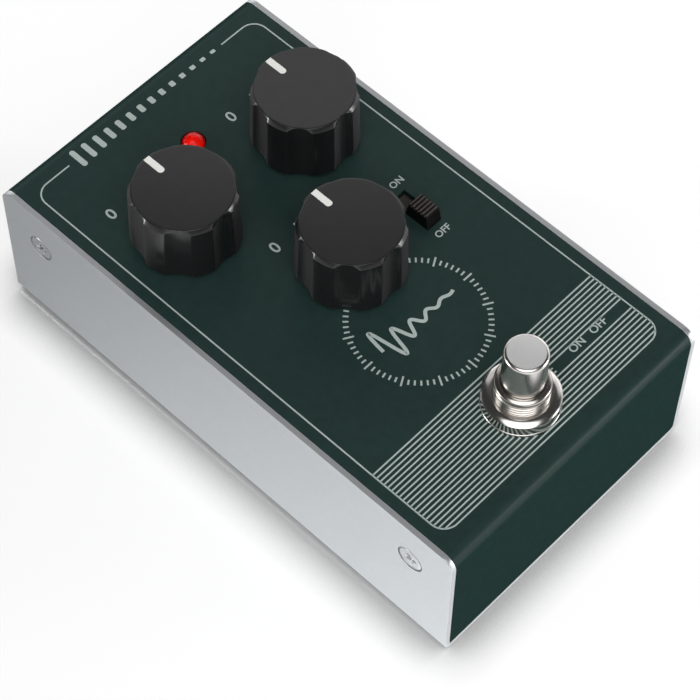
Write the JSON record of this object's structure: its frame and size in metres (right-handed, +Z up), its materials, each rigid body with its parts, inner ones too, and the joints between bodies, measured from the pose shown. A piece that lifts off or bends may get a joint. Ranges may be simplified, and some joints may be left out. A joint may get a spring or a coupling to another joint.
{
  "type": "delay pedal",
  "caption": "Guitar delay pedal: green folded cover between silver side plates, fluted rotary knobs, slide switch, red lamp and a footswitch.",
  "frame": {"origin": "centre of the whole plan at the feet's undersides", "axes": "+Z up, +Y to the rear with the sockets, +X to the player's right; the footswitch is at -Y"},
  "size_m": [0.074, 0.132, 0.057],
  "materials": {
    "cover_paint": "fine satin powder coat, dark green",
    "case_metal": "bead-blasted, clear anodised",
    "screw_steel": "bright nickel plate",
    "switch_metal": "satin nickel plate",
    "knob_plastic": "black, satin",
    "black_plastic": "black, satin",
    "lamp_red": "clear red",
    "foot_rubber": "matt",
    "board": "green solder mask",
    "steel": "zinc plated",
    "contact_brass": "plated",
    "wafer": "brown laminate",
    "switch_blue": "blue moulding",
    "relay_white": "white moulding",
    "ribbon_grey": "grey vinyl",
    "panel_print": "pale grey-green screen print",
    "pointer_fill": "white paint in the knobs' grooves"
  },
  "bodies": {
    "case": {"top_cover": "cover_paint", "chassis_base": "case_metal", "case_screws": "screw_steel", "footswitch_bushing": "switch_metal", "footswitch_top_nut": "switch_metal", "footswitch_top_washer": "switch_metal", "input_jack": "black_plastic", "output_jack": "black_plastic", "dc_jack": "black_plastic", "processor_chip": "black_plastic", "converter_chips": "black_plastic", "regulator": "black_plastic", "led_spacer": "black_plastic", "ribbon_sockets": "black_plastic", "led_lens": "lamp_red", "rubber_feet": "foot_rubber", "main_board": "board", "footswitch_board": "board", "clinch_nuts": "steel", "pot_washers": "steel", "pot_nuts": "steel", "pot_terminals": "steel", "pot_cover_left": "steel", "pot_cover_right": "steel", "pot_cover_center": "steel", "led_legs": "steel", "slide_switch_can": "steel", "footswitch_frame": "steel", "footswitch_inner_nut": "steel", "footswitch_lock_washer": "steel", "footswitch_terminals": "steel", "footswitch_spring": "steel", "jack_nuts": "steel", "jack_washers": "steel", "crystal": "steel", "capacitors": "steel", "dc_jack_pin": "steel", "input_contacts": "contact_brass", "output_contacts": "contact_brass", "dc_jack_contact": "contact_brass", "slide_switch_terminals": "contact_brass", "pot_base_left": "wafer", "pot_base_right": "wafer", "pot_base_center": "wafer", "slide_switch_base": "wafer", "footswitch_base": "switch_blue", "relay": "relay_white", "ribbon_cable": "ribbon_grey"},
    "knob_left_body": {"knob_left": "knob_plastic", "pot_shaft_left": "steel"},
    "knob_right_body": {"knob_right": "knob_plastic", "pot_shaft_right": "steel"},
    "knob_center_body": {"knob_center": "knob_plastic", "pot_shaft_center": "steel"},
    "slider": {"slide_switch_actuator": "black_plastic", "slide_switch_contact": "contact_brass"},
    "plunger": {"footswitch_plunger": "switch_metal"}
  },
  "joints": [
    {"name": "left_knob_turn", "type": "hinge", "parent": "case", "child": "knob_left_body", "pos_m": [-0.01783, 0.02697, 0.045], "axis": [0, 0, -1], "range_deg": [-150, 150]},
    {"name": "right_knob_turn", "type": "hinge", "parent": "case", "child": "knob_right_body", "pos_m": [0.01783, 0.02697, 0.045], "axis": [0, 0, -1], "range_deg": [-150, 150]},
    {"name": "center_knob_turn", "type": "hinge", "parent": "case", "child": "knob_center_body", "pos_m": [0, -0.00363, 0.045], "axis": [0, 0, -1], "range_deg": [-150, 150]},
    {"name": "slider_shift", "type": "slide", "parent": "case", "child": "slider", "axis": [0, 1, 0], "range_m": [0, 0.0042]},
    {"name": "plunger_press", "type": "slide", "parent": "case", "child": "plunger", "axis": [0, 0, -1], "range_m": [0, 0.0025], "stiffness_N_per_m": 800, "springref_m": -0.004, "deforming": ["footswitch_spring"]}
  ]
}
